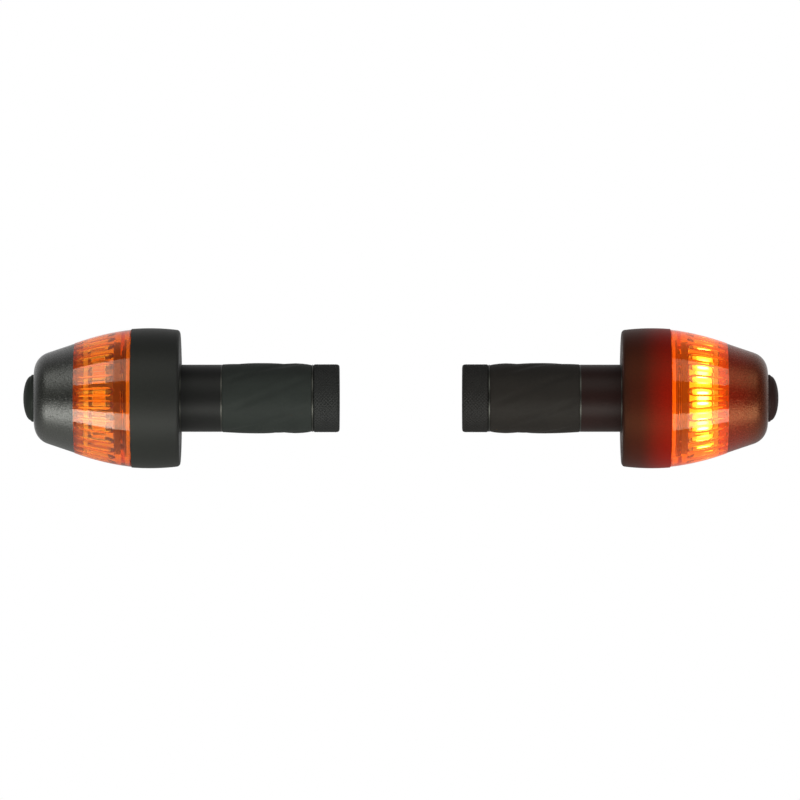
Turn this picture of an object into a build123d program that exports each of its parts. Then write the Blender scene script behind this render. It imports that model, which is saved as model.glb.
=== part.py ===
from build123d import *
import math
import os

# A pair of bar end turn signals, one for each end of a bicycle's handlebar, in millimetres.
# Each light is modelled once about its own Z axis. The seat that meets the end of the bar is
# at height 0, the lamp stands above it and the expanding plug hangs below it.
# At the end of the file both lights are laid along the bar, with X along it and Z up.

# The pair
seat_spacing = 100.8

# Clamp screw
screw_radius = 2.5
thread_pitch = 0.8
thread_depth = 0.35
thread_length = 13.6
hex_across = 8.0
hex_clearance = 0.05
running_clearance = 0.05
washer_clearance = 0.1

# Plug
sleeve_radius = 7.68
sleeve_length = 9.1
sleeve_floor = 2.3
sleeve_hollow = 5.5
washer_thickness = 0.3
thrust_thickness = 0.5
thrust_proud = 0.2
rubber_length = 20.5
rubber_front_radius = 7.75
rubber_band_radius = 8.05
rubber_notch_radius = 7.85
rubber_crest_radius = 8.0
rubber_rear_radius = 7.6
rubber_bore_clearance = 0.3
nut_radius = 7.78
nut_length = 6.0
nut_edge_round = 0.7
nut_chamfer = 0.3
insert_radius = 3.6
insert_length = 3.0
insert_inset = 0.2
insert_flange_radius = 4.6
insert_flange_thickness = 0.8
insert_clearance = 0.02
clip_thickness = 0.5
clip_width = 1.75
clip_gap = 2.6
clip_clearance = 0.05
screw_tip = 0.8

# Coin cells and their holder
cell_radius = 10.0
cell_thickness = 3.2
cell_cap_inset = 1.1
cell_cap_height = 0.25
cell_edge_round = 0.2
contact_thickness = 0.3
contact_width = 2.0
negative_disc_radius = 6.0
positive_disc_radius = 7.0
tab_clearance = 0.15
tab_side_clearance = 0.2
tab_gap = 0.9
holder_floor = 0.6
holder_wall = 0.8
holder_clearance = 0.1
holder_drop = 0.3

# Base housing
base_length = 11.1
base_floor = 2.0
base_belly = 0.3
base_draw_in = 0.3
base_edge_round = 0.9
base_recess_clearance = 0.32
hex_seat = 2.4
hex_boss_wall = 1.3
hex_boss_clearance = 0.2
lip_height = 1.2
lip_wall = 0.55
lip_clearance = 0.06

# Housing screws
housing_screw_count = 3
housing_screw_start = 45.0
housing_screw_radius = 0.8
housing_screw_head_radius = 1.5
housing_screw_head_height = 1.2
housing_screw_recess = 0.2
housing_screw_clearance = 0.1
housing_boss_wall = 0.5
housing_boss_cell_clearance = 0.2
housing_boss_overlap = 0.15
pilot_clearance = 0.02

# Lens
lens_length = 13.0
lens_rim_wall = 2.24
lens_wall = 2.0
lens_bulge = 0.4
lens_step = 0.15
ledge_width = 1.1
ledge_thickness = 0.85
ledge_draw_in = 0.15
ledge_clearance = 0.05
lens_notch_clearance = 0.15
flute_count = 28
flute_radius = 0.95
flute_depth = 0.75
flute_inset = 4.3
flute_front_inset = 1.3

# Chassis, light core and boards
chassis_floor = 1.6
chassis_clearance = 0.3
peg_radius = 4.0
peg_shortfall = 0.2
peg_clearance = 0.05
core_radius = 6.9
core_clearance = 0.02
led_board_thickness = 0.2
led_board_margin = 0.3
led_count = 8
led_width = 5.0
led_length_share = 0.56
led_start_share = 0.3
led_height = 1.1
board_thickness = 1.0
board_clearance = 0.8
switch_width = 6.0
switch_height = 3.2
plunger_radius = 1.7
plunger_proud = 0.9
plunger_depth = 0.8
plunger_clearance = 0.05
press_travel = 0.6
press_clearance = 0.2
chip_width = 3.6
chip_height = 0.9
chip_angle = 90.0
resistor_count = 6
resistor_length = 1.6
resistor_width = 0.8
resistor_height = 0.5
resistor_start = 135.0
resistor_range = 225.0

# Nose cap and button
nose_length = 9.3
nose_step = 0.1
nose_taper = 18.6
nose_round_share = 0.85
nose_front_wall = 2.2
nose_shelf = 0.9
nose_cavity_clearance = 0.6
spigot_radius = 10.5
spigot_wall = 1.2
spigot_height = 2.3
spigot_clearance = 0.1
spigot_board_clearance = 0.2
button_radius = 5.4
button_clearance = 0.1
button_rim = 0.6
button_dome = 1.9
button_edge_round = 0.4
button_flange_width = 1.2
button_flange_thickness = 0.8
button_flange_clearance = 0.1
button_stem_radius = 1.6

# Seals
seal_section = 0.4
seal_clearance = 0.02
seal_groove_width = 1.0
button_seal_setback = 0.6

# Every cut runs this far past the face that it leaves
overrun = 1.0


def arc_radius(height, low, high, bulge):
    """Radius at one height of a turned wall that bulges out between two (radius, height) ends."""
    chord = math.dist(low, high)
    round_radius = (chord**2 / 4 + bulge**2) / (2 * bulge)
    middle_radius = (low[0] + high[0]) / 2
    middle_height = (low[1] + high[1]) / 2
    drop = round_radius - bulge
    centre_radius = middle_radius - drop * (high[1] - low[1]) / chord
    centre_height = middle_height - drop * (low[0] - high[0]) / chord
    return centre_radius + math.sqrt(round_radius**2 - (height - centre_height) ** 2)


# Heights of the base and of what it holds, from the chassis down to the hexagon
lip_top = base_length + lip_height
ledge_bottom = lip_top + ledge_clearance
chassis_bottom = ledge_bottom + ledge_thickness
cells_top = chassis_bottom - contact_thickness
upper_cell_bottom = cells_top - cell_thickness
lower_cell_bottom = upper_cell_bottom - cell_thickness
holder_top_face = lower_cell_bottom - contact_thickness
boss_top = holder_top_face - holder_floor
hex_top = boss_top - hex_boss_clearance
base_recess_depth = thrust_thickness - thrust_proud

# Heights of the lens, the boards in it and the nose, from the chassis up to the button
lens_top = base_length + lens_length
chassis_top = chassis_bottom + chassis_floor
board_top = lens_top - spigot_height - spigot_board_clearance
board_bottom = board_top - board_thickness
core_length = board_bottom - chassis_top
led_length = led_length_share * core_length
switch_top = board_top + switch_height
plunger_top = switch_top + plunger_proud
nose_shelf_height = lens_top + nose_shelf
nose_top = lens_top + nose_length
nose_inner_top = nose_top - nose_front_wall

# Heights of the plug, from the seat down to its tip
sleeve_top = -thrust_proud
sleeve_bottom = sleeve_top - sleeve_length
rubber_top = sleeve_bottom - washer_thickness
rubber_bottom = rubber_top - rubber_length
nut_top = rubber_bottom - washer_thickness
nut_bottom = nut_top - nut_length
insert_top = nut_top - insert_inset
insert_shoulder = insert_top - insert_length
insert_bottom = insert_shoulder - insert_flange_thickness
clip_top = insert_bottom - clip_clearance
screw_bottom = clip_top - clip_thickness - screw_tip

# Radii, from the cells and the screw outwards
shaft_bore = screw_radius + running_clearance
washer_bore = screw_radius + washer_clearance
base_recess_radius = sleeve_radius + base_recess_clearance
housing_hole = housing_screw_radius + housing_screw_clearance
housing_boss_radius = housing_hole + housing_boss_wall
housing_circle = cell_radius + housing_boss_cell_clearance + housing_boss_radius
base_bore = housing_circle + housing_boss_radius - housing_boss_overlap
lip_radius = base_bore + lip_wall
lens_rear_bore = lip_radius + lip_clearance
lens_rear_radius = lens_rear_bore + lens_rim_wall
base_front_radius = lens_rear_radius + lens_step
base_seat_radius = base_front_radius - base_draw_in
spigot_bore = spigot_radius - spigot_wall
lens_front_bore = spigot_radius + spigot_clearance
lens_front_radius = lens_front_bore + lens_wall
nose_rear_radius = lens_front_radius - nose_step
nose_corner_radius = nose_rear_radius - nose_length * math.tan(math.radians(nose_taper))
button_bore = button_radius + button_clearance
button_flange_radius = button_radius + button_flange_width
nose_cavity_radius = button_flange_radius + nose_cavity_clearance
component_circle = (switch_width / 2 + spigot_bore) / 2

# The two curved walls of the lens, each between a rear and a front end
ledge_bore = lens_rear_bore - ledge_width
lens_outer_rear = (lens_rear_radius, base_length)
lens_outer_front = (lens_front_radius, lens_top)
lens_inner_rear = (lens_rear_bore - ledge_draw_in, chassis_bottom)
lens_inner_front = (lens_front_bore, lens_top)
lens_middle = (base_length + lens_top) / 2
lens_inner_middle = (chassis_bottom + lens_top) / 2
lens_outer_middle_radius = arc_radius(lens_middle, lens_outer_rear, lens_outer_front, lens_bulge)
lens_inner_middle_radius = arc_radius(lens_inner_middle, lens_inner_rear, lens_inner_front, lens_bulge)
chassis_wall = arc_radius(chassis_top, lens_inner_rear, lens_inner_front, lens_bulge)
board_wall = arc_radius(board_top, lens_inner_rear, lens_inner_front, lens_bulge)
chassis_radius = chassis_wall - chassis_clearance
board_radius = board_wall - board_clearance

# Seal grooves: one round the lip, one round the spigot, one round the button
seal_groove_depth = 2 * seal_section
rear_seal_circle = (lip_radius + lens_rear_radius) / 2
front_seal_circle = (spigot_radius + nose_rear_radius) / 2
button_seal_circle = button_radius + seal_clearance + seal_section
button_seal_groove = button_seal_circle + seal_section + seal_clearance
button_seal_top = nose_top - button_seal_setback
button_seal_height = button_seal_top - seal_groove_width / 2

# Base housing: the turned cup that seats on the bar end and holds the cells
with BuildPart() as base_housing:
    with BuildSketch(Plane.XZ):
        with BuildLine():
            Line((base_recess_radius, 0), (base_seat_radius, 0))
            ThreePointArc(
                (base_seat_radius, 0),
                ((base_seat_radius + base_front_radius) / 2 + base_belly, base_length / 2),
                (base_front_radius, base_length),
            )
            Polyline(
                (base_front_radius, base_length),
                (lip_radius, base_length),
                (lip_radius, lip_top),
                (base_bore, lip_top),
                (base_bore, base_floor),
                (0, base_floor),
                (0, base_recess_depth),
                (base_recess_radius, base_recess_depth),
                (base_recess_radius, 0),
            )
        make_face()
    revolve(axis=Axis.Z)
    seat_edges = base_housing.edges().filter_by(GeomType.CIRCLE).group_by(Axis.Z)[0]
    fillet(seat_edges.sort_by(SortBy.RADIUS)[-1], base_edge_round)
    with BuildSketch(Plane.XY.offset(base_floor)):
        RegularPolygon(hex_across / 2 + hex_clearance + hex_boss_wall, 6, major_radius=False)
    extrude(amount=boss_top - base_floor)
    with BuildSketch(Plane.XY.offset(base_floor)):
        with PolarLocations(housing_circle, housing_screw_count, housing_screw_start):
            Circle(housing_boss_radius)
    extrude(amount=chassis_bottom - base_floor)
    with BuildSketch(Plane.XY.offset(hex_seat)):
        RegularPolygon(hex_across / 2 + hex_clearance, 6, major_radius=False)
    extrude(amount=boss_top - hex_seat + overrun, mode=Mode.SUBTRACT)
    with BuildSketch(Plane.XY.offset(-overrun)):
        Circle(shaft_bore)
    extrude(amount=hex_seat + 2 * overrun, mode=Mode.SUBTRACT)
    with BuildSketch(Plane.XY.offset(-overrun)):
        with PolarLocations(housing_circle, housing_screw_count, housing_screw_start):
            Circle(housing_hole)
    extrude(amount=chassis_bottom + 2 * overrun, mode=Mode.SUBTRACT)
    with BuildSketch(Plane.XY.offset(-overrun)):
        with PolarLocations(housing_circle, housing_screw_count, housing_screw_start):
            Circle(housing_screw_head_radius + housing_screw_clearance)
    extrude(
        amount=overrun + housing_screw_recess + housing_screw_head_height,
        mode=Mode.SUBTRACT,
    )
    with BuildSketch(Plane.XY.offset(base_length - seal_groove_depth)):
        Circle(rear_seal_circle + seal_groove_width / 2)
        Circle(rear_seal_circle - seal_groove_width / 2, mode=Mode.SUBTRACT)
    extrude(amount=seal_groove_depth, mode=Mode.SUBTRACT)
base_housing.part.label = "base_housing"

# Rear lens seal: an O-ring in the groove round the lip
with BuildPart() as lens_rear_seal:
    with BuildSketch(Plane.XZ):
        with Locations((rear_seal_circle, base_length - seal_section)):
            Circle(seal_section - seal_clearance)
    revolve(axis=Axis.Z)
lens_rear_seal.part.label = "lens_rear_seal"

# One flute of the lens: a slot with round ends, sunk in the inner wall
flute_low_height = base_length + flute_inset
flute_high_height = lens_top - flute_front_inset
flute_sink = flute_radius - flute_depth
flute_start = 180 / flute_count
flute_low_wall = arc_radius(flute_low_height, lens_inner_rear, lens_inner_front, lens_bulge)
flute_high_wall = arc_radius(flute_high_height, lens_inner_rear, lens_inner_front, lens_bulge)
flute_low = Vector(flute_low_wall - flute_sink, 0, flute_low_height)
flute_high = Vector(flute_high_wall - flute_sink, 0, flute_high_height)
with BuildPart() as flute:
    with BuildSketch(Plane(origin=flute_low, z_dir=flute_high - flute_low)):
        Circle(flute_radius)
    extrude(amount=(flute_high - flute_low).length)
    with Locations(flute_low, flute_high):
        Sphere(flute_radius)

# Lens: the clear amber ring, smooth outside, with flutes inside and a ledge that the
# chassis holds down
with BuildPart() as lens_ring:
    with BuildSketch(Plane.XZ):
        with BuildLine():
            ThreePointArc(
                lens_outer_rear,
                (lens_outer_middle_radius, lens_middle),
                lens_outer_front,
            )
            Line(lens_outer_front, lens_inner_front)
            ThreePointArc(
                lens_inner_front,
                (lens_inner_middle_radius, lens_inner_middle),
                lens_inner_rear,
            )
            Polyline(
                lens_inner_rear,
                (ledge_bore, chassis_bottom),
                (ledge_bore, ledge_bottom),
                (lens_rear_bore, ledge_bottom),
                (lens_rear_bore, base_length),
                lens_outer_rear,
            )
        make_face()
    revolve(axis=Axis.Z)
    with PolarLocations(0, flute_count, flute_start):
        add(flute.part, mode=Mode.SUBTRACT)
    with BuildSketch(Plane.XY.offset(lip_top)):
        with PolarLocations(housing_circle, housing_screw_count, housing_screw_start):
            Circle(housing_boss_radius + lens_notch_clearance)
    extrude(amount=chassis_bottom - lip_top, mode=Mode.SUBTRACT)
lens_ring.part.label = "lens_ring"

# Front lens seal: an O-ring in the groove of the nose cap's rear face
with BuildPart() as lens_front_seal:
    with BuildSketch(Plane.XZ):
        with Locations((front_seal_circle, lens_top + seal_section)):
            Circle(seal_section - seal_clearance)
    revolve(axis=Axis.Z)
lens_front_seal.part.label = "lens_front_seal"

# Nose cap: the tapered end, bonded by its spigot into the front of the lens
nose_flat = nose_corner_radius - button_bore
nose_round = nose_round_share * nose_flat / math.tan(math.radians((90 - nose_taper) / 2))
with BuildPart() as nose_cap:
    with BuildSketch(Plane.XZ):
        with BuildLine():
            Polyline(
                (spigot_radius, lens_top),
                (nose_rear_radius, lens_top),
                (nose_corner_radius, nose_top),
                (button_bore, nose_top),
                (button_bore, nose_inner_top),
                (nose_cavity_radius, nose_inner_top),
                (nose_cavity_radius, nose_shelf_height),
                (spigot_bore, nose_shelf_height),
                (spigot_bore, lens_top - spigot_height),
                (spigot_radius, lens_top - spigot_height),
                close=True,
            )
        make_face()
    revolve(axis=Axis.Z)
    front_edges = nose_cap.edges().filter_by(GeomType.CIRCLE).group_by(Axis.Z)[-1]
    fillet(front_edges.sort_by(SortBy.RADIUS)[-1], nose_round)
    with BuildSketch(Plane.XY.offset(lens_top)):
        Circle(front_seal_circle + seal_groove_width / 2)
        Circle(front_seal_circle - seal_groove_width / 2, mode=Mode.SUBTRACT)
    extrude(amount=seal_groove_depth, mode=Mode.SUBTRACT)
    with BuildSketch(Plane.XY.offset(button_seal_top - seal_groove_width)):
        Circle(button_seal_groove)
    extrude(amount=seal_groove_width, mode=Mode.SUBTRACT)
nose_cap.part.label = "nose_cap"

# Button seal: an O-ring that the button slides through
with BuildPart() as button_seal:
    with BuildSketch(Plane.XZ):
        with Locations((button_seal_circle, button_seal_height)):
            Circle(seal_section)
    revolve(axis=Axis.Z)
button_seal.part.label = "button_seal"

# Push button: a domed head, a flange that keeps it in, and a stem down to the switch
flange_top = nose_inner_top - button_flange_clearance
flange_bottom = flange_top - button_flange_thickness
rim_top = nose_top + button_rim
dome_radius = (button_radius**2 + button_dome**2) / (2 * button_dome)
dome_half_angle = math.asin(button_radius / dome_radius) / 2
dome_middle = (
    dome_radius * math.sin(dome_half_angle),
    rim_top + button_dome - dome_radius * (1 - math.cos(dome_half_angle)),
)
with BuildPart() as push_button:
    with BuildSketch(Plane.XZ):
        with BuildLine():
            Polyline(
                (0, rim_top + button_dome),
                (0, plunger_top),
                (button_stem_radius, plunger_top),
                (button_stem_radius, flange_bottom),
                (button_flange_radius, flange_bottom),
                (button_flange_radius, flange_top),
                (button_radius, flange_top),
                (button_radius, rim_top),
            )
            ThreePointArc((button_radius, rim_top), dome_middle, (0, rim_top + button_dome))
        make_face()
    revolve(axis=Axis.Z)
    rim_edges = push_button.edges().filter_by(lambda edge: edge.is_closed)
    fillet(rim_edges.sort_by(Axis.Z)[-1], button_edge_round)
push_button.part.label = "push_button"

# Chassis: a moulded floor on the base's bosses and the lens's ledge, with a peg for the core
tab_slot_width = contact_width + 2 * tab_side_clearance
tab_slot_depth = contact_thickness + 2 * tab_clearance
led_board_inner = core_radius + core_clearance
led_board_outer = led_board_inner + led_board_thickness
tab_angle = 180 / led_count
positive_tab_circle = led_board_outer + led_height + tab_gap
negative_tab_circle = cell_radius + tab_clearance + contact_thickness / 2
with BuildPart() as chassis:
    with BuildSketch(Plane.XY.offset(chassis_bottom)):
        Circle(chassis_radius)
        with PolarLocations(housing_circle, housing_screw_count, housing_screw_start):
            Circle(housing_screw_radius + pilot_clearance, mode=Mode.SUBTRACT)
        with PolarLocations(positive_tab_circle, 1, tab_angle):
            Rectangle(tab_slot_depth, tab_slot_width, mode=Mode.SUBTRACT)
        with PolarLocations(-negative_tab_circle, 1, tab_angle):
            Rectangle(tab_slot_depth, tab_slot_width, mode=Mode.SUBTRACT)
    extrude(amount=chassis_floor)
    with BuildSketch(Plane.XY.offset(chassis_top)):
        Circle(peg_radius)
    extrude(amount=core_length - peg_shortfall)
chassis.part.label = "chassis"

# Housing screws: from the seat, through the base's bosses, into the chassis
with BuildPart() as housing_screws:
    with BuildSketch(Plane.XY.offset(housing_screw_recess)):
        with PolarLocations(housing_circle, housing_screw_count, housing_screw_start):
            Circle(housing_screw_head_radius)
    extrude(amount=housing_screw_head_height)
    with BuildSketch(Plane.XY.offset(housing_screw_recess + housing_screw_head_height)):
        with PolarLocations(housing_circle, housing_screw_count, housing_screw_start):
            Circle(housing_screw_radius)
    extrude(amount=chassis_top - housing_screw_recess - housing_screw_head_height)
    with BuildSketch(Plane.XY.offset(housing_screw_recess)):
        with PolarLocations(housing_circle, housing_screw_count, housing_screw_start):
            RegularPolygon(housing_screw_radius, 6)
    extrude(amount=housing_screw_head_height / 2, mode=Mode.SUBTRACT)
housing_screws.part.label = "housing_screws"

# Light core: the dark drum that the lamps are wrapped around
with BuildPart() as light_core:
    with BuildSketch(Plane.XY.offset(chassis_top)):
        Circle(core_radius)
        Circle(peg_radius + peg_clearance, mode=Mode.SUBTRACT)
    extrude(amount=core_length)
light_core.part.label = "light_core"

# Lamp strip: the flexible board round the core
with BuildPart() as led_strip:
    with BuildSketch(Plane.XY.offset(chassis_top + led_board_margin)):
        Circle(led_board_outer)
        Circle(led_board_inner, mode=Mode.SUBTRACT)
    extrude(amount=core_length - 2 * led_board_margin)
led_strip.part.label = "led_strip"

# Lamps: flat packages all round the strip, each facing out
with BuildPart() as leds:
    with BuildSketch(Plane.XY.offset(chassis_top + led_start_share * core_length)):
        with PolarLocations(led_board_outer + led_height / 2, led_count):
            Rectangle(led_height, led_width)
    extrude(amount=led_length)
leds.part.label = "leds"

# Circuit board: rests on the core, under the nose cap's spigot
with BuildPart() as circuit_board:
    with BuildSketch(Plane.XY.offset(board_bottom)):
        Circle(board_radius)
    extrude(amount=board_thickness)
circuit_board.part.label = "circuit_board"

# Board components: the controller and the chip resistors round the switch
with BuildPart() as board_components:
    with BuildSketch(Plane.XY.offset(board_top)):
        with PolarLocations(component_circle, 1, chip_angle):
            Rectangle(chip_width, chip_width)
    extrude(amount=chip_height)
    with BuildSketch(Plane.XY.offset(board_top)):
        with PolarLocations(component_circle, resistor_count, resistor_start, resistor_range):
            Rectangle(resistor_width, resistor_length)
    extrude(amount=resistor_height)
board_components.part.label = "board_components"

# Switch: a square push switch in the middle of the board
plunger_bottom = switch_top - plunger_depth
with BuildPart() as tact_switch:
    with BuildSketch(Plane.XY.offset(board_top)):
        Rectangle(switch_width, switch_width)
    extrude(amount=switch_height)
    with BuildSketch(Plane.XY.offset(plunger_bottom - press_travel - press_clearance)):
        Circle(plunger_radius + plunger_clearance)
    extrude(amount=switch_height, mode=Mode.SUBTRACT)
tact_switch.part.label = "tact_switch"

# Switch plunger: what the button's stem presses
with BuildPart() as switch_plunger:
    with BuildSketch(Plane.XY.offset(plunger_bottom)):
        Circle(plunger_radius)
    extrude(amount=plunger_top - plunger_bottom)
switch_plunger.part.label = "switch_plunger"


def coin_cell(bottom):
    """A coin cell: the can is its positive pole, and the small cap below is the negative one."""
    with BuildPart() as cell:
        with BuildSketch(Plane.XY.offset(bottom + cell_cap_height)):
            Circle(cell_radius)
        extrude(amount=cell_thickness - cell_cap_height)
        fillet(cell.edges().filter_by(GeomType.CIRCLE), cell_edge_round)
        with BuildSketch(Plane.XY.offset(bottom)):
            Circle(cell_radius - cell_cap_inset)
        extrude(amount=cell_cap_height)
    return cell


# Coin cells: two in a stack
lower_cell = coin_cell(lower_cell_bottom)
lower_cell.part.label = "lower_cell"
upper_cell = coin_cell(upper_cell_bottom)
upper_cell.part.label = "upper_cell"

# Cell holder: a tray on the hexagon's boss, notched for the screw bosses
holder_bore = cell_radius + holder_clearance
holder_radius = holder_bore + holder_wall
with BuildPart() as cell_holder:
    with BuildSketch(Plane.XY.offset(boss_top)):
        Circle(holder_radius)
    extrude(amount=cells_top - holder_drop - boss_top)
    with BuildSketch(Plane.XY.offset(holder_top_face)):
        Circle(holder_bore)
    extrude(amount=cells_top - holder_top_face, mode=Mode.SUBTRACT)
    with BuildSketch(Plane.XY.offset(holder_top_face)):
        with PolarLocations(-negative_tab_circle, 1, tab_angle):
            Rectangle(tab_slot_depth, tab_slot_width)
    extrude(amount=cells_top - holder_top_face, mode=Mode.SUBTRACT)
    with BuildSketch(Plane.XY.offset(boss_top - overrun)):
        with PolarLocations(housing_circle, housing_screw_count, housing_screw_start):
            Circle(housing_boss_radius + housing_boss_cell_clearance)
    extrude(amount=cells_top - boss_top + 2 * overrun, mode=Mode.SUBTRACT)
cell_holder.part.label = "cell_holder"

# Negative contact: a disc under the cells, with a tab up past them to the board
with BuildPart() as negative_contact:
    with BuildSketch(Plane.XY.offset(holder_top_face)):
        Circle(negative_disc_radius)
        with PolarLocations(-negative_tab_circle / 2, 1, tab_angle):
            Rectangle(negative_tab_circle + contact_thickness, contact_width)
    extrude(amount=contact_thickness)
    with BuildSketch(Plane.XY.offset(holder_top_face)):
        with PolarLocations(-negative_tab_circle, 1, tab_angle):
            Rectangle(contact_thickness, contact_width)
    extrude(amount=board_bottom - holder_top_face)
negative_contact.part.label = "negative_contact"

# Positive contact: a disc on top of the cells, with its own tab up to the board
with BuildPart() as positive_contact:
    with BuildSketch(Plane.XY.offset(cells_top)):
        Circle(positive_disc_radius)
        with PolarLocations(positive_tab_circle / 2, 1, tab_angle):
            Rectangle(positive_tab_circle + contact_thickness, contact_width)
    extrude(amount=contact_thickness)
    with BuildSketch(Plane.XY.offset(cells_top)):
        with PolarLocations(positive_tab_circle, 1, tab_angle):
            Rectangle(contact_thickness, contact_width)
    extrude(amount=board_bottom - cells_top)
positive_contact.part.label = "positive_contact"

# Thrust washer: lets the base turn on the sleeve, and shows as a thin bright line
with BuildPart() as thrust_washer:
    with BuildSketch(Plane.XY.offset(sleeve_top)):
        Circle(sleeve_radius)
        Circle(washer_bore, mode=Mode.SUBTRACT)
    extrude(amount=thrust_thickness)
thrust_washer.part.label = "thrust_washer"

# Spacer sleeve: keeps the rubber well inside the bar
with BuildPart() as spacer_sleeve:
    with BuildSketch(Plane.XY.offset(sleeve_bottom)):
        Circle(sleeve_radius)
        Circle(shaft_bore, mode=Mode.SUBTRACT)
    extrude(amount=sleeve_length)
    with BuildSketch(Plane.XY.offset(sleeve_bottom)):
        Circle(sleeve_hollow)
    extrude(amount=sleeve_length - sleeve_floor, mode=Mode.SUBTRACT)
spacer_sleeve.part.label = "spacer_sleeve"


def plug_washer(bottom):
    """A thin steel washer that spreads the pull of the screw over one end of the rubber."""
    with BuildPart() as washer:
        with BuildSketch(Plane.XY.offset(bottom)):
            Circle(sleeve_radius)
            Circle(washer_bore, mode=Mode.SUBTRACT)
        extrude(amount=washer_thickness)
    return washer


# Washers: one at each end of the rubber
front_washer = plug_washer(rubber_top)
front_washer.part.label = "front_washer"
rear_washer = plug_washer(nut_top)
rear_washer.part.label = "rear_washer"

# Rubber expander: a long barrel, a shallow notch and a short second crest
band_top_share, band_bottom_share, notch_share, crest_share = 0.29, 0.54, 0.69, 0.82
band_top = rubber_top - band_top_share * rubber_length
band_bottom = rubber_top - band_bottom_share * rubber_length
notch_height = rubber_top - notch_share * rubber_length
crest_height = rubber_top - crest_share * rubber_length
rubber_bore = screw_radius + rubber_bore_clearance
with BuildPart() as rubber_expander:
    with BuildSketch(Plane.XZ):
        with BuildLine():
            Polyline(
                (rubber_bore, rubber_bottom),
                (rubber_bore, rubber_top),
                (rubber_front_radius, rubber_top),
                (rubber_band_radius, band_top),
                (rubber_band_radius, band_bottom),
                (rubber_notch_radius, notch_height),
            )
            ThreePointArc(
                (rubber_notch_radius, notch_height),
                (rubber_crest_radius, crest_height),
                (rubber_rear_radius, rubber_bottom),
            )
            Line((rubber_rear_radius, rubber_bottom), (rubber_bore, rubber_bottom))
        make_face()
    revolve(axis=Axis.Z)
rubber_expander.part.label = "rubber_expander"

# End nut: the round nut that the screw draws up against the rubber
insert_pocket = insert_radius + insert_clearance
nut_recess = insert_flange_radius + insert_clearance
with BuildPart() as end_nut:
    with BuildSketch(Plane.XY.offset(nut_bottom)):
        Circle(nut_radius)
    extrude(amount=nut_length)
    fillet(end_nut.edges().group_by(Axis.Z)[0], nut_edge_round)
    chamfer(end_nut.edges().group_by(Axis.Z)[-1], nut_chamfer)
    with BuildSketch(Plane.XY.offset(nut_bottom - overrun)):
        Circle(insert_pocket)
    extrude(amount=nut_length + 2 * overrun, mode=Mode.SUBTRACT)
    with BuildSketch(Plane.XY.offset(nut_bottom - overrun)):
        Circle(nut_recess)
    extrude(amount=insert_shoulder - nut_bottom + overrun, mode=Mode.SUBTRACT)
end_nut.part.label = "end_nut"

# Nut insert: the flanged brass thread inside the nut, which pulls on its shoulder
with BuildPart() as nut_insert:
    with BuildSketch(Plane.XY.offset(insert_shoulder)):
        Circle(insert_radius)
        Circle(shaft_bore, mode=Mode.SUBTRACT)
    extrude(amount=insert_length)
    with BuildSketch(Plane.XY.offset(insert_bottom)):
        Circle(insert_flange_radius)
        Circle(shaft_bore, mode=Mode.SUBTRACT)
    extrude(amount=insert_flange_thickness)
nut_insert.part.label = "nut_insert"

# Clamp screw: its hexagon sits in the base, and its threaded end draws the nut up
thread_ring_count = round(thread_length / thread_pitch)
thread_heights = [screw_bottom + (i + 0.5) * thread_pitch for i in range(thread_ring_count)]
thread_cut = math.hypot(thread_depth, thread_depth)
clip_bore = screw_radius - thread_depth
with BuildPart() as clamp_screw:
    with BuildSketch(Plane.XZ):
        with BuildLine():
            Polyline(
                (0, screw_bottom),
                (screw_radius, screw_bottom),
                (screw_radius, hex_seat),
                (0, hex_seat),
                close=True,
            )
        make_face()
        with Locations(*[(screw_radius, height) for height in thread_heights]):
            Rectangle(thread_cut, thread_cut, rotation=45, mode=Mode.SUBTRACT)
    revolve(axis=Axis.Z)
    with BuildSketch(Plane.XY.offset(clip_top - clip_thickness - clip_clearance)):
        Circle(screw_radius + overrun)
        Circle(clip_bore, mode=Mode.SUBTRACT)
    extrude(amount=clip_thickness + 2 * clip_clearance, mode=Mode.SUBTRACT)
    with BuildSketch(Plane.XY.offset(hex_seat)):
        RegularPolygon(hex_across / 2, 6, major_radius=False)
    extrude(amount=hex_top - hex_seat)
clamp_screw.part.label = "clamp_screw"

# Retaining clip: an open ring that keeps the nut from winding off the screw
with BuildPart() as retaining_clip:
    with BuildSketch(Plane.XY.offset(clip_top - clip_thickness)):
        Circle(clip_bore + clip_clearance + clip_width)
        Circle(clip_bore + clip_clearance, mode=Mode.SUBTRACT)
        with Locations((clip_bore + clip_width, 0)):
            Rectangle(2 * clip_width, clip_gap, mode=Mode.SUBTRACT)
    extrude(amount=clip_thickness)
retaining_clip.part.label = "retaining_clip"

# Lay both lights along the bar: the same light at each end, turned half round
left_end = Plane(origin=(-seat_spacing / 2, 0, 0), x_dir=(0, 0, 1), z_dir=(-1, 0, 0))
right_end = Plane(origin=(seat_spacing / 2, 0, 0), x_dir=(0, 0, 1), z_dir=(1, 0, 0))
pieces = (
    base_housing,
    lens_rear_seal,
    lens_ring,
    lens_front_seal,
    nose_cap,
    button_seal,
    push_button,
    chassis,
    housing_screws,
    light_core,
    led_strip,
    leds,
    circuit_board,
    board_components,
    tact_switch,
    switch_plunger,
    lower_cell,
    upper_cell,
    cell_holder,
    negative_contact,
    positive_contact,
    thrust_washer,
    spacer_sleeve,
    front_washer,
    rubber_expander,
    rear_washer,
    end_nut,
    nut_insert,
    clamp_screw,
    retaining_clip,
)
os.makedirs("parts", exist_ok=True)
for side, end in (("left", left_end), ("right", right_end)):
    for piece in pieces:
        placed = piece.part.moved(end.location)
        placed.label = f"{side}_{piece.part.label}"
        export_step(placed, f"parts/{placed.label}.step")
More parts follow.
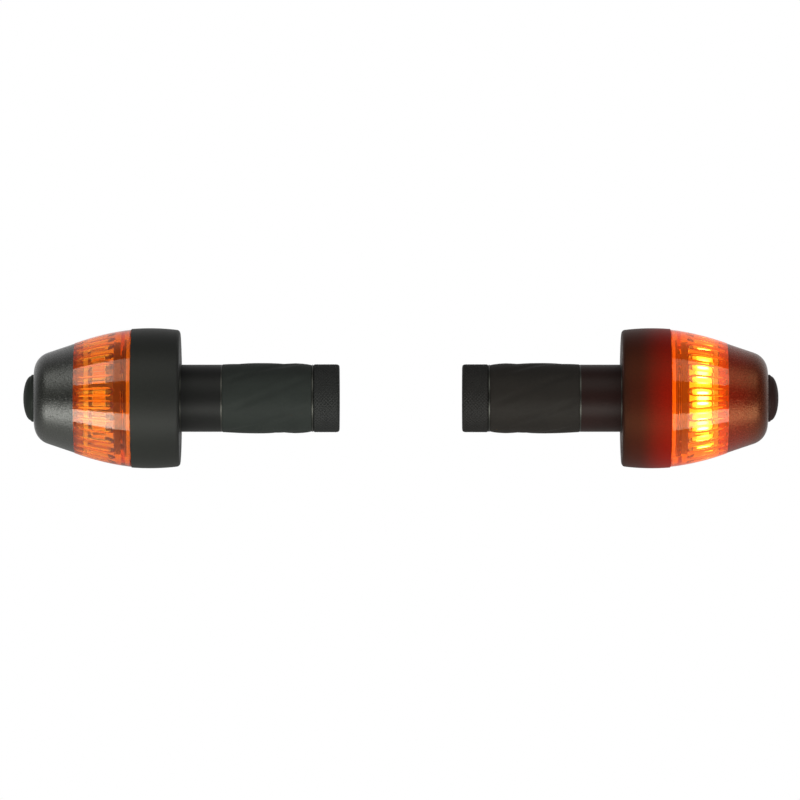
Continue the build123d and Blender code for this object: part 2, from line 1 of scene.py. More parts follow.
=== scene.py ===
import math
import bmesh
import bpy
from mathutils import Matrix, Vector


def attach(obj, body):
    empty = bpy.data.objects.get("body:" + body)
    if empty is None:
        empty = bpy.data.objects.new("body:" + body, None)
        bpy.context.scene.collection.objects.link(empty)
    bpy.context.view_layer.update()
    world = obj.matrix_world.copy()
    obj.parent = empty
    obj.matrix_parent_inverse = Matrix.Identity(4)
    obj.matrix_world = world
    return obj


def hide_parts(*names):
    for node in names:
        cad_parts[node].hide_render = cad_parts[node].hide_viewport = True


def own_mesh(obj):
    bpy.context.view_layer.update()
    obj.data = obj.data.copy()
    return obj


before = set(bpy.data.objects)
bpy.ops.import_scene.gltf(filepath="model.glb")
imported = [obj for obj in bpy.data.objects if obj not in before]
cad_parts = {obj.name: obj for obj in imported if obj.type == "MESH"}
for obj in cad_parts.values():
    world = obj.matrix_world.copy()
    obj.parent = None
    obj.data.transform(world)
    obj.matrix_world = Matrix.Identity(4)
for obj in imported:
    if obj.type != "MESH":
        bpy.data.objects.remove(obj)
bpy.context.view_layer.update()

# View: the pair is seen square on from the side, from far enough away that it hardly tapers.
# The picture is 800 points wide and shows 182.9 mm at the lights' own distance.
view_distance = 1.8
view_width = 0.18286
view_across, view_height = -0.0002, -0.0004
farthest_seen = 20.0
sensor_width = 36.0
camera_data = bpy.data.cameras.new("studio_camera")
camera_data.sensor_width = sensor_width
camera_data.lens = sensor_width * view_distance / view_width
camera_data.clip_end = farthest_seen
camera = bpy.data.objects.new("studio_camera", camera_data)
camera.location = (view_across, -view_distance, view_height)
camera.rotation_euler = (math.radians(90), 0, 0)
bpy.context.scene.collection.objects.link(camera)
bpy.context.scene.camera = camera
bpy.context.scene.view_settings.view_transform = "Standard"

# Room: a plain white surround. It lights the pair only weakly, and shows as white. In gloss it is
# bright behind the pair and dark in front, where the room around the camera is unlit.
ambient_strength = 0.1
front_gloss, back_gloss = 0.06, 0.7
dark_until, bright_from = -0.2, 0.9


def linear(hex_colour):
    """Turns an sRGB hex colour into the linear colour that the shaders take."""
    parts = [int(hex_colour[i:i + 2], 16) / 255 for i in (1, 3, 5)]
    return tuple(c / 12.92 if c <= 0.04045 else ((c + 0.055) / 1.055) ** 2.4 for c in parts) + (1,)


def add_node(tree, kind, inputs=None, **settings):
    """Adds a node. An input is given as a value, or as the socket that feeds it."""
    node = tree.nodes.new(kind)
    for name, value in settings.items():
        setattr(node, name, value)
    for name, value in (inputs or {}).items():
        if isinstance(value, bpy.types.NodeSocket):
            tree.links.new(value, node.inputs[name])
        else:
            node.inputs[name].default_value = value
    return node


def seen_directly(tree, gloss_share):
    """1 for rays from the camera or through clear plastic, less for those off gloss, else 0."""
    path = add_node(tree, "ShaderNodeLightPath")
    gloss = add_node(
        tree, "ShaderNodeMath",
        {0: path.outputs["Is Glossy Ray"], 1: gloss_share, 2: path.outputs["Is Camera Ray"]},
        operation="MULTIPLY_ADD",
    )
    return add_node(
        tree, "ShaderNodeMath",
        {0: gloss.outputs[0], 1: path.outputs["Is Transmission Ray"]}, operation="MAXIMUM",
    ).outputs[0]


plain_white = linear("#ffffff")
world = bpy.data.worlds.new("white_room")
world.use_nodes = True
tree = world.node_tree
tree.nodes.clear()
weak = add_node(tree, "ShaderNodeBackground", {"Color": plain_white, "Strength": ambient_strength})
shining = add_node(tree, "ShaderNodeBackground", {"Color": plain_white, "Strength": 1.0})
direction = add_node(tree, "ShaderNodeTexCoord").outputs["Generated"]
depth = add_node(tree, "ShaderNodeSeparateXYZ", {0: direction}).outputs["Y"]
room_gloss = add_node(
    tree, "ShaderNodeMapRange",
    {"Value": depth, "From Min": dark_until, "From Max": bright_from,
     "To Min": front_gloss, "To Max": back_gloss},
    interpolation_type="SMOOTHSTEP",
)
shown = add_node(
    tree, "ShaderNodeMixShader",
    {0: seen_directly(tree, room_gloss.outputs[0]), 1: weak.outputs[0], 2: shining.outputs[0]},
)
add_node(tree, "ShaderNodeOutputWorld", {"Surface": shown.outputs[0]})
bpy.context.scene.world = world

# Floor: pale painted board well below the pair, matt, so that it takes a soft shadow.
# Seen directly it also glows, which carries the white of the room down to the picture's foot.
floor_height = -0.27
floor_half = 2.0
floor_gloss = 0.25
floor_colour = "#e6e6e4"
floor_mesh = bpy.data.meshes.new("floor")
floor_mesh.from_pydata(
    [(x * floor_half, y * floor_half, floor_height) for x, y in ((-1, -1), (1, -1), (1, 1), (-1, 1))],
    [], [(0, 1, 2, 3)],
)
floor = bpy.data.objects.new("floor", floor_mesh)
bpy.context.scene.collection.objects.link(floor)
floor_paint = bpy.data.materials.new("pale_matt_paint")
floor_paint.use_nodes = True
tree = floor_paint.node_tree
tree.nodes.clear()
paint = add_node(tree, "ShaderNodeBsdfDiffuse", {"Color": linear(floor_colour)})
glow = add_node(
    tree, "ShaderNodeEmission",
    {"Color": plain_white, "Strength": seen_directly(tree, floor_gloss)},
)
both = add_node(tree, "ShaderNodeAddShader", {0: paint.outputs[0], 1: glow.outputs[0]})
add_node(tree, "ShaderNodeOutputMaterial", {"Surface": both.outputs[0]})
floor_mesh.materials.append(floor_paint)

# Light: two long softboxes along the pair, one high and one low, both in front of it. Each is
# given by its name, angle, distance, length, width and brightness.
softboxes = (
    ("high_softbox", 50.0, 0.55, 1.1, 0.42, 2.0),
    ("low_softbox", -40.5, 0.28, 0.8, 0.145, 5.0),
)
softbox_tint = "#fdfff7"
for name, angle, distance, length, width, brightness in softboxes:
    lamp = bpy.data.lights.new(name, "AREA")
    lamp.shape = "RECTANGLE"
    lamp.size = length
    lamp.size_y = width
    lamp.energy = brightness * math.pi * length * width
    lamp.color = linear(softbox_tint)[:3]
    holder = bpy.data.objects.new(name, lamp)
    towards = Vector((0, -math.cos(math.radians(angle)), math.sin(math.radians(angle))))
    holder.location = towards * distance
    holder.rotation_euler = towards.to_track_quat("Z", "Y").to_euler()
    holder.visible_camera = False
    bpy.context.scene.collection.objects.link(holder)

# Base housings: turned aluminium cups, finely bead blasted and anodised black, with a lip inside
# the lens. A pale band on the lip is a painted highlight for the light that the lens's rear rim
# carries, and shows through the lens as a thin orange line. On the lit light its lamp's glow is
# painted on the wall, red beside the lens and darker towards the seat.
outward = {"left": -1, "right": 1}
seat = 0.0504
wall_top, lip_low, lip_high, lip_dull = 0.01112, 0.01114, 0.01188, 0.01194
# Painted glow: on the right cup the painted red deepens from this height up to the lens.
painted_red_from = 0.003
# The right light's warm shine tint is a painted reflection of its lamp's glow.
shine_tint_with_painted_glow = {"left": "#ffffff", "right": "#ffae78"}
noise_low, noise_high = 0.3, 0.7


def height_above_seat(tree, side):
    """How far a point is along one light's own axis, from the seat towards the nose."""
    place = add_node(tree, "ShaderNodeTexCoord").outputs["Object"]
    along = add_node(tree, "ShaderNodeSeparateXYZ", {0: place}).outputs["X"]
    return place, add_node(
        tree, "ShaderNodeMath", {0: along, 1: float(outward[side]), 2: -seat},
        operation="MULTIPLY_ADD",
    ).outputs[0]


def blended(tree, height, stops):
    """A colour that runs smoothly from stop to stop: each is (height above the seat, colour)."""
    (low, colour), *rest = stops
    tone = None
    for high, following in rest:
        share = add_node(
            tree, "ShaderNodeMapRange", {"Value": height, "From Min": low, "From Max": high},
            interpolation_type="SMOOTHSTEP",
        )
        first = tone.outputs[2] if tone else linear(colour)
        tone = add_node(
            tree, "ShaderNodeMix", {0: share.outputs[0], 6: first, 7: linear(following)},
            data_type="RGBA",
        )
        low = high
    return tone.outputs[2]


def blasted(name, side, stops, grain, depth, roughness, specular, speckle, glitter):
    """Blasted, dye-coloured aluminium, toned by stops that can hold painted light: the grain breaks up
    its shine by glitter, its colour by speckle.
    """
    material = bpy.data.materials.new(name)
    material.use_nodes = True
    tree = material.node_tree
    tree.nodes.clear()
    place, height = height_above_seat(tree, side)
    tone = blended(tree, height, stops)
    grains = add_node(
        tree, "ShaderNodeTexNoise",
        {"Vector": place, "Scale": 1 / grain, "Detail": 2.0, "Roughness": 0.6},
    )
    mottle = add_node(
        tree, "ShaderNodeMapRange",
        {"Value": grains.outputs[0], "From Min": noise_low, "From Max": noise_high,
         "To Min": 1 - speckle, "To Max": 1 + speckle},
    )
    dye_and_painted_light = add_node(
        tree, "ShaderNodeVectorMath", {0: tone, 1: mottle.outputs[0]}, operation="MULTIPLY",
    )
    rough = add_node(
        tree, "ShaderNodeMapRange",
        {"Value": grains.outputs[0], "From Min": noise_low, "From Max": noise_high,
         "To Min": roughness - glitter, "To Max": roughness + glitter},
    )
    bump = add_node(
        tree, "ShaderNodeBump",
        {"Height": grains.outputs[0], "Distance": depth, "Strength": 1.0},
    )
    shader = add_node(
        tree, "ShaderNodeBsdfPrincipled",
        {
            "Base Color": dye_and_painted_light.outputs[0], "Roughness": rough.outputs[0],
            "Specular IOR Level": specular, "Specular Tint": linear(shine_tint_with_painted_glow[side]),
            "Normal": bump.outputs[0],
        },
    )
    add_node(tree, "ShaderNodeOutputMaterial", {"Surface": shader.outputs[0]})
    return material


def dress(node, material):
    """Gives a CAD node one material all over."""
    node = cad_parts[node]
    node.data.materials.clear()
    node.data.materials.append(material)


# Anodised, bead blasted base: the sealed black layer looks matt and only shines at its edges.
# The blasting's real grain, about 0.05 mm, is drawn at 0.22 mm so that it shows.
base_finish = {
    "grain": 0.00022, "depth": 0.000006, "roughness": 0.5, "specular": 0.16,
    "speckle": 0.2, "glitter": 0.06,
}
# The pale lip band is a painted highlight on both cups, and the right cup's red is painted glow.
base_tones_with_painted_light = {
    "left": (
        (0.0, "#1b1c1b"), (wall_top, "#1d1e1c"), (lip_low, "#e2ddd2"), (lip_high, "#e2ddd2"),
        (lip_dull, "#3a2018"),
    ),
    "right": (
        (0.0, "#27110c"), (painted_red_from, "#33110b"), (wall_top, "#740b04"),
        (lip_low, "#f0c8a0"), (lip_high, "#f0c8a0"), (lip_dull, "#6a2410"),
    ),
}
for side, stops in base_tones_with_painted_light.items():
    dress(f"{side}_base_housing", blasted(f"{side}_anodised_base", side, stops, **base_finish))

# Lens rings: clear amber polycarbonate, injection moulded in a polished tool and slid on the
# base's lip. Long slots inside scatter the lamps' light. The colour is in the plastic, so it
# deepens with the length of a ray's path.
lens_rear, lens_front = 0.0111, 0.0241
lens_rear_radius, lens_front_radius = 0.0157, 0.0126
lens_bulge = 0.0004
lens_chamfer = 0.00012
lens_crease = 32
lip_bore = 0.01346
ledge_low, ledge_high, ledge_radius = 0.01235, 0.0132, 0.01236
inner_rear_radius, inner_front_radius = 0.01331, 0.0106
boss_angles = (45.0, 165.0, 285.0)
boss_half = 8.0
slot_count = 28
slot_pitch = 2 * math.pi / slot_count
slot_share = 0.72
slot_depth = 0.0009
slot_low, slot_high = 0.0166, 0.0228
slot_low_taper, slot_high_taper = 0.0021, 0.00095
slot_end_limit = 1.0001
least_swell = 0.01
slot_steps, rib_steps, end_steps, middle_steps, outer_rows = 10, 2, 6, 10, 22
band_heights = [ledge_high, 0.0136, 0.0140, 0.0143]
rim_heights = [0.0239, lens_front]


def placed(side, angle, out, across, height):
    """World place of a point given about one light's own axis."""
    sign = outward[side]
    sine, cosine = math.sin(angle), math.cos(angle)
    return (
        sign * (seat + height), -sign * (out * sine + across * cosine), out * cosine - across * sine,
    )


def bowed(low, high, low_radius, high_radius, height):
    """Radius of a bowed wall at one height."""
    share = (height - low) / (high - low)
    return low_radius + (high_radius - low_radius) * share + 4 * lens_bulge * share * (1 - share)


def solid_of(name, vertices, faces, crease):
    """A closed mesh with outward faces, smooth but for edges sharper than the crease."""
    mesh = bpy.data.meshes.new(name)
    mesh.from_pydata(vertices, [], faces)
    shell = bmesh.new()
    shell.from_mesh(mesh)
    bmesh.ops.recalc_face_normals(shell, faces=shell.faces)
    shell.to_mesh(mesh)
    shell.free()
    mesh.shade_smooth()
    mesh.set_sharp_from_angle(angle=math.radians(crease))
    piece = bpy.data.objects.new(name, mesh)
    bpy.context.scene.collection.objects.link(piece)
    return piece


def ring_of(name, rows, crease):
    """A closed form of rows of points round the axis, the last row joined to the first."""
    count = len(rows[0])
    faces = []
    for j in range(len(rows)):
        for i in range(count):
            following, after = (i + 1) % count, ((j + 1) % len(rows)) * count
            faces.append((j * count + i, j * count + following, after + following, after + i))
    return solid_of(name, [point for row in rows for point in row], faces, crease)


def slotted_row(side, height):
    """One row round the inner wall, which dips into each slot and narrows at the slot's ends."""
    wall = bowed(ledge_high, lens_front, inner_rear_radius, inner_front_radius, height)
    beyond = max((slot_low - height) / slot_low_taper, (height - slot_high) / slot_high_taper, 0)
    within = beyond < slot_end_limit
    swell = math.sqrt(max(0, 1 - beyond ** 2)) if within else 1
    depth = slot_depth * swell if within else 0
    edge = slot_share * slot_pitch / 2 * max(swell, least_swell)
    points = []
    for slot in range(slot_count):
        middle = slot_pitch * (slot + 0.5)
        for i in range(slot_steps + 1):
            share = 2 * i / slot_steps - 1
            points.append(placed(side, middle + edge * share, wall + depth * (1 - share ** 2), 0, height))
        for i in range(1, rib_steps):
            turn = middle + edge + (slot_pitch - 2 * edge) * i / rib_steps
            points.append(placed(side, turn, wall, 0, height))
    return points


def round_row(side, radius, height):
    """One plain row, with its points at the same turns as those of a slotted row."""
    edge = slot_share * slot_pitch / 2
    points = []
    for slot in range(slot_count):
        middle = slot_pitch * (slot + 0.5)
        angles = [middle + edge * (2 * i / slot_steps - 1) for i in range(slot_steps + 1)]
        angles += [
            middle + edge + (slot_pitch - 2 * edge) * i / rib_steps for i in range(1, rib_steps)
        ]
        for angle in angles:
            reach = radius(math.degrees(angle) % 360) if callable(radius) else radius
            points.append(placed(side, angle, reach, 0, height))
    return points


def ledge_reach(angle):
    """The ledge steps back smoothly where the base's screw bosses stand."""
    away = min(abs((angle - boss + 180) % 360 - 180) for boss in boss_angles)
    share = min(max((away - boss_half) / boss_half, 0), 1)
    return inner_rear_radius + (ledge_radius - inner_rear_radius) * share ** 2 * (3 - 2 * share)


# Moulded amber polycarbonate: clear, orange in thick places and yellow in thin ones. Its gloss is
# weaker over the rear band and on the lit light, and fades towards the outline, where the amber
# body and its orange-tinted reflections take over. That tint is a painted reflection colour for the
# light from inside the plastic. The real index of 1.585 would turn the outline grey. A faint
# painted glow of its own, stronger on the lit light, stands for the light that the dye gathers
# and spreads.
lens_ior = 1.36
lens_polish = 0.03
# The edge tint is a painted reflection colour.
lens_body, lens_painted_reflection_tint = "#ffeebc", "#ffae50"
lens_shine = {"left": 1.0, "right": 0.5}
full_gloss_until, no_gloss_from = 0.35, 0.75
band_top, slots_from, band_gloss = 0.0144, 0.0150, 0.5
coat_ior = 1.6
# The lens's glow is painted light, because the plastic is no lamp.
painted_glow_colour = "#ff6f00"
lens_painted_glow = {"left": 0.055, "right": 0.16}
dye_colour, dye_density = "#fee28b", 1456.0
haze_colour, haze_density = "#ff7c1a", 70.0


def polycarbonate(name, side):
    """Clear amber plastic, dyed through and slightly hazy, under a polished skin."""
    material = bpy.data.materials.new(name)
    material.use_nodes = True
    tree = material.node_tree
    tree.nodes.clear()
    facing = add_node(tree, "ShaderNodeLayerWeight", {"Blend": 0.5}).outputs["Facing"]
    gloss = add_node(
        tree, "ShaderNodeMapRange",
        {"Value": facing, "From Min": full_gloss_until, "From Max": no_gloss_from,
         "To Min": lens_shine[side], "To Max": 0.0},
    )
    sheen = add_node(
        tree, "ShaderNodeMapRange",
        {"Value": height_above_seat(tree, side)[1], "From Min": band_top, "From Max": slots_from,
         "To Min": band_gloss, "To Max": 1.0},
    )
    coat = add_node(
        tree, "ShaderNodeMath", {0: gloss.outputs[0], 1: sheen.outputs[0]}, operation="MULTIPLY",
    )
    clear = add_node(
        tree, "ShaderNodeBsdfPrincipled",
        {
            "Base Color": linear(lens_body), "Roughness": lens_polish, "IOR": lens_ior,
            "Transmission Weight": 1.0, "Specular Tint": linear(lens_painted_reflection_tint),
            "Coat Weight": coat.outputs[0], "Coat Roughness": lens_polish, "Coat IOR": coat_ior,
            "Emission Color": linear(painted_glow_colour), "Emission Strength": lens_painted_glow[side],
        },
    )
    dye = add_node(
        tree, "ShaderNodeVolumeAbsorption", {"Color": linear(dye_colour), "Density": dye_density},
    )
    haze = add_node(
        tree, "ShaderNodeVolumeScatter", {"Color": linear(haze_colour), "Density": haze_density},
    )
    inside = add_node(tree, "ShaderNodeAddShader", {0: dye.outputs[0], 1: haze.outputs[0]})
    add_node(
        tree, "ShaderNodeOutputMaterial",
        {"Surface": clear.outputs[0], "Volume": inside.outputs[0]},
    )
    return material


swings = [math.sin(math.radians(90 * k / end_steps)) for k in range(end_steps + 1)]
wall_heights = band_heights + [slot_low - slot_low_taper * s for s in reversed(swings)]
wall_heights += [
    slot_low + (slot_high - slot_low) * k / middle_steps for k in range(1, middle_steps)
]
wall_heights += [slot_high + slot_high_taper * s for s in swings] + rim_heights
outer_low = lens_rear + lens_chamfer
outer_heights = [lens_front - (lens_front - outer_low) * k / outer_rows for k in range(outer_rows + 1)]
for side in outward:
    rows = [
        round_row(side, lip_bore, lens_rear), round_row(side, lip_bore, ledge_low),
        round_row(side, ledge_reach, ledge_low), round_row(side, ledge_reach, ledge_high),
    ]
    rows += [slotted_row(side, height) for height in wall_heights]
    for height in outer_heights:
        reach = bowed(lens_rear, lens_front, lens_rear_radius, lens_front_radius, height)
        rows.append(round_row(side, reach, height))
    rows.append(round_row(side, lens_rear_radius - lens_chamfer, lens_rear))
    lens = ring_of(f"{side}_slotted_lens", rows, lens_crease)
    lens.data.materials.append(polycarbonate(f"{side}_amber_polycarbonate", side))
    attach(lens, f"{side}_head")
    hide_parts(f"{side}_lens_ring")

# Nose caps: turned from the same aluminium, blasted coarser and anodised black, so that they
# glitter. Each is bonded into the lens by a spigot, coloured orange-brown, that shows through the
# plastic. On the lit light its lamp's glow is painted on: the spigot bright red, and the cap red,
# darker towards its front. The real grain, about 0.1 mm, is drawn at 0.3 mm so that it shows.
spigot_top, nose_foot, nose_top = 0.0238, 0.02412, 0.0334
nose_finish = {
    "grain": 0.0003, "depth": 0.00008, "roughness": 0.23, "speckle": 0.3, "glitter": 0.12,
}
nose_shine = {"left": 0.95, "right": 0.85}
# The right cap's reds are painted glow from its lamp.
nose_tones_with_painted_glow = {
    "left": ((spigot_top, "#8a3010"), (nose_foot, "#171814"), (nose_top, "#171814")),
    "right": ((spigot_top, "#b02808"), (nose_foot, "#680d04"), (nose_top, "#3a1409")),
}
for side, stops in nose_tones_with_painted_glow.items():
    cap_metal = blasted(
        f"{side}_anodised_nose", side, stops, specular=nose_shine[side], **nose_finish,
    )
    dress(f"{side}_nose_cap", cap_metal)

# Push buttons: moulded silicone rubber, domed so that a thumb finds them, with a thin moulded
# edge. A flange behind the nose holds each one in, and its stem reaches down to the switch.
# Silicone looks matt with a faint grey bloom. Its tool's texture is drawn at 0.25 mm to show.
button_radius, stem_radius, flange_radius = 0.0054, 0.00162, 0.0066
stem_end, flange_low, flange_high = 0.0258, 0.0302, 0.0311
button_wall_high, button_rim_high, button_tip = 0.0328, 0.0340, 0.0359
button_edge, rim_round, rim_lift = 0.00028, 0.0001, 0.00002
axis_gap = 0.00003
dome_steps = 14
button_crease = 38
round_segments = 96
mottle_width = 0.005556
roughness_spread = 0.08


def moulded(name, colour, roughness, specular, grain, depth, variation=0.12, glow=None):
    """Plain moulded plastic or rubber with a fine texture from its tool and a broad faint mottle.

    A painted glow is given by its colour, its strength at each lamp and its strength away from them.
    """
    material = bpy.data.materials.new(name)
    material.use_nodes = True
    tree = material.node_tree
    tree.nodes.clear()
    place = add_node(tree, "ShaderNodeTexCoord").outputs["Object"]
    fine = add_node(
        tree, "ShaderNodeTexNoise", {"Vector": place, "Scale": 1 / grain, "Detail": 3.0},
    )
    broad = add_node(
        tree, "ShaderNodeTexNoise", {"Vector": place, "Scale": 1 / mottle_width, "Detail": 4.0},
    )
    shade = add_node(
        tree, "ShaderNodeMapRange",
        {"Value": broad.outputs[0], "From Min": noise_low, "From Max": noise_high,
         "To Min": 1 - variation, "To Max": 1 + variation},
    )
    tone = add_node(
        tree, "ShaderNodeVectorMath", {0: linear(colour)[:3], 1: shade.outputs[0]},
        operation="MULTIPLY",
    )
    rough = add_node(
        tree, "ShaderNodeMapRange",
        {"Value": fine.outputs[0], "To Min": roughness - roughness_spread,
         "To Max": roughness + roughness_spread},
    )
    bump = add_node(
        tree, "ShaderNodeBump", {"Height": fine.outputs[0], "Distance": depth, "Strength": 1.0},
    )
    inputs = {
        "Base Color": tone.outputs[0], "Roughness": rough.outputs[0],
        "Specular IOR Level": specular, "Normal": bump.outputs[0],
    }
    if glow:
        inputs["Emission Color"] = linear(glow[0])
        inputs["Emission Strength"] = lamp_and_painted_glow(tree, *glow[1:])
    shader = add_node(tree, "ShaderNodeBsdfPrincipled", inputs)
    add_node(tree, "ShaderNodeOutputMaterial", {"Surface": shader.outputs[0]})
    return material


def turned(name, profile, side, segments, radius_at=None, crease=40):
    """A closed turned form: profile points are (radius, height above the seat)."""
    turns = [2 * math.pi * i / segments for i in range(segments)]
    rows = []
    for r, z in profile:
        radii = [radius_at(r, z, turn) if radius_at else r for turn in turns]
        rows.append([placed(side, turn, radius, 0, z) for turn, radius in zip(turns, radii)])
    return ring_of(name, rows, crease)


# Painted glow: the right button is the same silicone, painted red-brown by its lamp's glow.
button_tones_with_painted_glow = {"left": "#1d211e", "right": "#220c0a"}
dome = button_tip - button_rim_high
dome_radius = button_radius - button_edge
button_profile = [
    (stem_radius, flange_low), (flange_radius, flange_low), (flange_radius, flange_high),
    (button_radius, flange_high), (button_radius, button_wall_high),
    (button_radius, button_rim_high - rim_round),
    (button_radius - rim_round, button_rim_high + rim_lift),
]
for k in range(1, dome_steps):
    swing = math.radians(90 * k / dome_steps)
    button_profile.append(
        (dome_radius * math.cos(swing), button_rim_high + dome * math.sin(swing))
    )
button_profile += [(axis_gap, button_tip), (axis_gap, stem_end), (stem_radius, stem_end)]
for side, colour in button_tones_with_painted_glow.items():
    button = turned(
        f"{side}_domed_button", button_profile, side, round_segments, crease=button_crease,
    )
    silicone = moulded(
        f"{side}_silicone_button", colour, roughness=0.62, specular=0.2, grain=0.00025, depth=0.00001,
    )
    button.data.materials.append(silicone)
    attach(button, f"{side}_button")
    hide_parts(f"{side}_push_button")

# Spacer sleeves: black acetal tubes, turned on a lathe and slid over the clamp screw. The tool
# leaves them satin, with a soft long highlight. Its marks are drawn at 0.3 mm so that they show.
# Painted glow: the right sleeve is the same acetal, painted red-brown by its lamp's glow.
sleeve_tones_with_painted_glow = {"left": "#161616", "right": "#1d0d0b"}
for side, colour in sleeve_tones_with_painted_glow.items():
    acetal = moulded(
        f"{side}_turned_acetal", colour, roughness=0.45, specular=0.12, grain=0.0003, depth=0.000004,
    )
    dress(f"{side}_spacer_sleeve", acetal)

# Rubber expanders: soft moulded rubber barrels with shallow slanting grooves, squeezed between
# two washers so that they swell and grip the bar. The rubber looks dull, with a faint sheen along
# its ridges. Its grain is drawn at 0.4 mm so that it shows.
plug_rear, plug_front = -0.0301, -0.0096
rubber_profile = (
    (0.0028, plug_rear), (0.0028, plug_front), (0.00762, plug_front), (0.00775, -0.00975),
    (0.00784, -0.0113), (0.00794, -0.0132), (0.00802, -0.0155), (0.00805, -0.0175),
    (0.00805, -0.0190), (0.00803, -0.0207), (0.00796, -0.0224), (0.00786, -0.02375),
    (0.00793, -0.0248), (0.008, -0.0264), (0.00793, -0.0279), (0.0078, -0.0291),
    (0.00762, -0.02995), (0.0075, plug_rear),
)
rubber_step = 0.0004
rubber_segments = 168
groove_count = 7
groove_depth = 0.00017
groove_turn = 1.1
groove_fade = 6
grooved_from_radius = 0.0075


def finer(profile, step):
    """The same closed profile with more points along each of its straight runs."""
    points = []
    for (r0, z0), (r1, z1) in zip(profile, profile[1:] + profile[:1]):
        count = max(1, math.ceil(math.dist((r0, z0), (r1, z1)) / step))
        points += [(r0 + (r1 - r0) * k / count, z0 + (z1 - z0) * k / count) for k in range(count)]
    return tuple(points)


def grooved(r, z, angle):
    """Radius of the rubber, cut by slanting grooves that fade out at both ends."""
    if r < grooved_from_radius:
        return r
    share = (z - plug_rear) / (plug_front - plug_rear)
    fade = min(1, groove_fade * share, groove_fade * (1 - share))
    wave = math.cos(groove_count * (angle + groove_turn * share))
    return r - groove_depth * max(0, fade) * max(0, wave) ** 3


# Painted light: the right rubber is the same rubber, painted a darker, warmer tone for its lit lamp.
rubber_tones_with_painted_light = {"left": "#1d211f", "right": "#171310"}
for side, colour in rubber_tones_with_painted_light.items():
    rubber = turned(
        f"{side}_grooved_rubber", finer(rubber_profile, rubber_step), side, rubber_segments, grooved,
    )
    plug_rubber = moulded(
        f"{side}_moulded_rubber", colour, roughness=0.68, specular=0.18, grain=0.0004, depth=0.00001,
    )
    rubber.data.materials.append(plug_rubber)
    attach(rubber, f"{side}_plug")
    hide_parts(f"{side}_rubber_expander")
    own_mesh(rubber)

# End nuts: moulded glass-filled nylon with a fine crossed knurl, so that fingers can hold them
# while the screw winds into the brass thread inside. The knurl gives a dark dotted look.
# The plastic's own grain is drawn at 0.2 mm so that it shows.
nut_radius = 0.00778
nut_profile = (
    (0.00362, -0.0304), (0.00748, -0.0304), (nut_radius, -0.0307), (nut_radius, -0.0357),
    (0.00769, -0.0361), (0.00742, -0.03634), (0.00708, -0.0364), (0.00462, -0.0364),
    (0.00462, -0.0336), (0.00362, -0.0336),
)
nut_step = 0.00013
nut_segments = 480
knurl_count = 60
knurl_depth = 0.00016
knurl_from_radius, knurl_until = 0.0070, -0.0361


def knurled(r, z, angle):
    """Radius of the nut, with crossed slanting cuts over its round wall."""
    if r < knurl_from_radius or z < knurl_until:
        return r
    slant = knurl_count * z / nut_radius
    first = abs(math.sin(0.5 * (knurl_count * angle + slant)))
    second = abs(math.sin(0.5 * (knurl_count * angle - slant)))
    return r - knurl_depth * (1 - min(first, second))


# Painted light: the right nut is the same nylon, painted a darker, warmer tone for its lit lamp.
nut_tones_with_painted_light = {"left": "#161717", "right": "#100e0d"}
for side, colour in nut_tones_with_painted_light.items():
    nut = turned(f"{side}_knurled_nut", finer(nut_profile, nut_step), side, nut_segments, knurled)
    filled_nylon = moulded(
        f"{side}_filled_nylon", colour, roughness=0.55, specular=0.2, grain=0.0002, depth=0.00001,
    )
    nut.data.materials.append(filled_nylon)
    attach(nut, f"{side}_nut")
    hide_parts(f"{side}_end_nut")

# Washers, screws and clips: washers stamped from blackened steel, which show as thin dark lines
# that still glint, and screws and clips turned or stamped from steel and plated with zinc, pale
# and satin. The marks of stamping and turning are drawn at 0.3 mm so that they show.
plating_grain = 0.0003
plating_variation = 0.1


def plated(name, colour, roughness):
    """Plated steel or brass with fine marks from stamping and turning."""
    material = bpy.data.materials.new(name)
    material.use_nodes = True
    tree = material.node_tree
    tree.nodes.clear()
    place = add_node(tree, "ShaderNodeTexCoord").outputs["Object"]
    marks = add_node(
        tree, "ShaderNodeTexNoise", {"Vector": place, "Scale": 1 / plating_grain, "Detail": 3.0},
    )
    rough = add_node(
        tree, "ShaderNodeMapRange",
        {"Value": marks.outputs[0], "To Min": roughness - roughness_spread,
         "To Max": roughness + roughness_spread},
    )
    shade = add_node(
        tree, "ShaderNodeMapRange",
        {"Value": marks.outputs[0], "From Min": noise_low, "From Max": noise_high,
         "To Min": 1 - plating_variation, "To Max": 1 + plating_variation},
    )
    tone = add_node(
        tree, "ShaderNodeVectorMath", {0: linear(colour)[:3], 1: shade.outputs[0]},
        operation="MULTIPLY",
    )
    shader = add_node(
        tree, "ShaderNodeBsdfPrincipled",
        {"Base Color": tone.outputs[0], "Metallic": 1.0, "Roughness": rough.outputs[0]},
    )
    add_node(tree, "ShaderNodeOutputMaterial", {"Surface": shader.outputs[0]})
    return material


black_steel = plated("blackened_steel", "#3c3c39", roughness=0.4)
zinc = plated("zinc_plated_steel", "#b4b6b4", roughness=0.32)
for side in outward:
    for piece in ("thrust_washer", "front_washer", "rear_washer"):
        dress(f"{side}_{piece}", black_steel)
    for piece in ("clamp_screw", "housing_screws", "retaining_clip"):
        dress(f"{side}_{piece}", zinc)

# Thread inserts, contacts and cells: brass, turned for the inserts and stamped for the contacts,
# yellow and bright, and coin cells in pressed cans whose nickel plating looks white and shiny.
brass = plated("turned_brass", "#c9a04e", roughness=0.3)
nickel = plated("nickel_plated_can", "#c4c4bd", roughness=0.25)
for side in outward:
    for piece in ("nut_insert", "negative_contact", "positive_contact"):
        dress(f"{side}_{piece}", brass)
    for piece in ("lower_cell", "upper_cell"):
        dress(f"{side}_{piece}", nickel)

